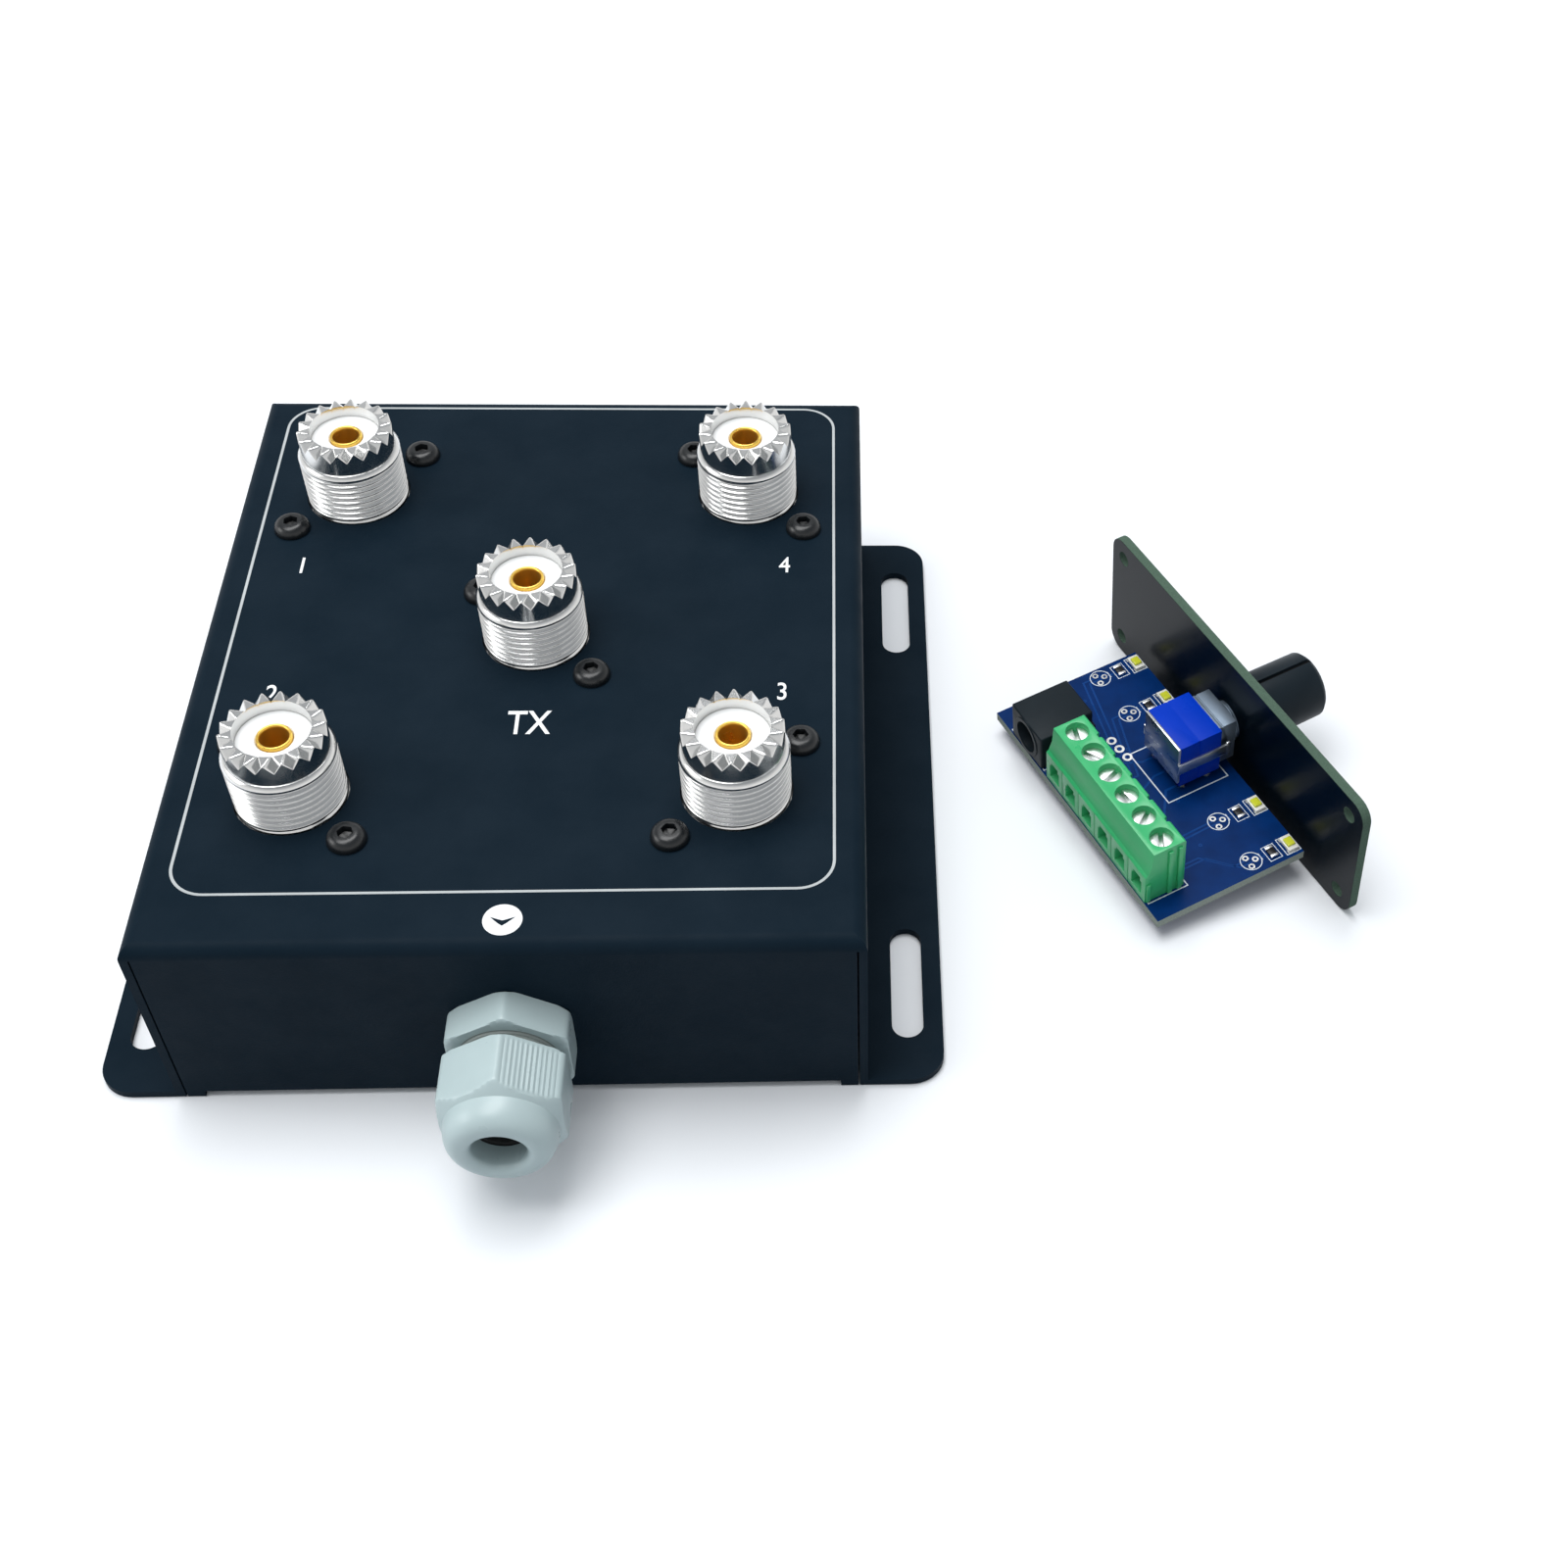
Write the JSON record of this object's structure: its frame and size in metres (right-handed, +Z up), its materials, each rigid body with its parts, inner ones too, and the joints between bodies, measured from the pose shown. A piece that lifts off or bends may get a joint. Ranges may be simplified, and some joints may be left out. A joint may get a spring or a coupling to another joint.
{
  "type": "coaxial antenna switch",
  "caption": "Black relay box with coaxial sockets and a cable gland, and a bare control board with a rotary switch and knob that picks the antenna.",
  "frame": {"origin": "centre of the relay box's underside", "axes": "+Z up through the sockets, -Y out through the cable gland, +X towards the control unit"},
  "size_m": [0.1896, 0.1397, 0.0471],
  "materials": {
    "box_coat": "satin black powder coat with a fine grain",
    "nickel": "bright nickel plate",
    "ptfe": "white, slightly waxy",
    "gold": "gold plate",
    "black_screw": "black oxide",
    "standoff": "nickel-plated brass",
    "relay_board": "green solder mask",
    "relay_case": "moulded black",
    "winding": "enamelled copper",
    "relay_iron": "plated soft iron",
    "relay_contact": "silver-faced copper alloy",
    "terminal_green": "moulded green",
    "terminal_metal": "nickel plate",
    "gland_nylon": "moulded pale grey",
    "gland_rubber": "soft dark rubber",
    "blue_board": "blue solder mask",
    "black_board": "glossy black solder mask",
    "switch_blue": "moulded bright blue",
    "switch_zinc": "die-cast zinc, matt",
    "switch_steel": "thin plated sheet",
    "rotor": "moulded",
    "shaft": "turned",
    "knob": "satin charcoal with a fine grain",
    "jack": "moulded dark grey",
    "lamp": "clear domed top on a white base",
    "resistor": "black glaze with plated ends"
  },
  "bodies": {
    "relay_box": {"enclosure_shell": "box_coat", "bottom_plate": "box_coat", "bottom_screws": "black_screw", "socket_screws": "black_screw", "board_standoffs": "standoff", "board_screws": "black_screw", "relay_board": "relay_board", "relay_coils": "winding", "relay_yokes": "relay_iron", "relay_contacts": "relay_contact", "cable_terminal": "terminal_green", "cable_terminal_screws": "terminal_metal", "gland_body": "gland_nylon", "gland_locknut": "gland_nylon", "socket_body_1": "nickel", "socket_body_2": "nickel", "socket_body_3": "nickel", "socket_body_4": "nickel", "socket_body_tx": "nickel", "socket_insulator_1": "ptfe", "socket_insulator_2": "ptfe", "socket_insulator_3": "ptfe", "socket_insulator_4": "ptfe", "socket_insulator_tx": "ptfe", "socket_contact_1": "gold", "socket_contact_2": "gold", "socket_contact_3": "gold", "socket_contact_4": "gold", "socket_contact_tx": "gold", "relay_base_1": "relay_case", "relay_base_2": "relay_case", "relay_base_3": "relay_case", "relay_base_4": "relay_case", "relay_cover_1": "relay_case", "relay_cover_2": "relay_case", "relay_cover_3": "relay_case", "relay_cover_4": "relay_case"},
    "control_unit": {"control_board": "blue_board", "front_panel": "black_board", "switch_housing": "switch_blue", "switch_bush": "switch_zinc", "switch_strap": "switch_steel", "switch_pins": "terminal_metal", "panel_nut": "terminal_metal", "terminal_housing": "terminal_green", "terminal_screws": "terminal_metal", "terminal_clamps": "terminal_metal", "power_jack": "jack", "power_jack_contacts": "terminal_metal", "status_lamps": "lamp", "lamp_resistors": "resistor"},
    "knob": {"knob": "knob", "switch_shaft": "shaft", "switch_rotor": "rotor"},
    "gland_seal": {"gland_seal": "gland_rubber"},
    "gland_nut": {"gland_nut": "gland_nylon"},
    "relay_armature_1": {"relay_armature_1": "relay_iron"},
    "relay_armature_2": {"relay_armature_2": "relay_iron"},
    "relay_armature_3": {"relay_armature_3": "relay_iron"},
    "relay_armature_4": {"relay_armature_4": "relay_iron"}
  },
  "joints": [
    {"name": "control_unit_lift_off", "type": "slide", "parent": "relay_box", "child": "control_unit", "axis": [1, 0, 0], "range_m": [0, 0.08]},
    {"name": "knob_turn", "type": "hinge", "parent": "control_unit", "child": "knob", "pos_m": [0.11727, 0.00682, 0.01325], "axis": [-0.8918, -0.4446, -0.0837], "range_deg": [-30, 60]},
    {"name": "gland_seal_slide", "type": "slide", "parent": "relay_box", "child": "gland_seal", "axis": [0, 1, 0], "range_m": [-0.00305, 0.00155]},
    {"name": "gland_nut_turn", "type": "hinge", "parent": "gland_seal", "child": "gland_nut", "pos_m": [0, -0.0695, 0.015], "axis": [0, 1, 0], "range_deg": [-720, 360]},
    {"name": "relay_1_armature", "type": "hinge", "parent": "relay_box", "child": "relay_armature_1", "pos_m": [-0.0195, 0.0246, 0.0092], "axis": [1, 0, 0], "range_deg": [0, 4], "stiffness_Nm_per_rad": 0.005, "springref_deg": -5.73},
    {"name": "relay_2_armature", "type": "hinge", "parent": "relay_box", "child": "relay_armature_2", "pos_m": [-0.0195, -0.0154, 0.0092], "axis": [1, 0, 0], "range_deg": [0, 4], "stiffness_Nm_per_rad": 0.005, "springref_deg": -5.73},
    {"name": "relay_3_armature", "type": "hinge", "parent": "relay_box", "child": "relay_armature_3", "pos_m": [0.0195, -0.0154, 0.0092], "axis": [1, 0, 0], "range_deg": [0, 4], "stiffness_Nm_per_rad": 0.005, "springref_deg": -5.73},
    {"name": "relay_4_armature", "type": "hinge", "parent": "relay_box", "child": "relay_armature_4", "pos_m": [0.0195, 0.0246, 0.0092], "axis": [1, 0, 0], "range_deg": [0, 4], "stiffness_Nm_per_rad": 0.005, "springref_deg": -5.73}
  ],
  "couplings": [
    {"joint": "gland_seal_slide", "follows": "gland_nut_turn", "m_per_rad": 0.00023873}
  ]
}
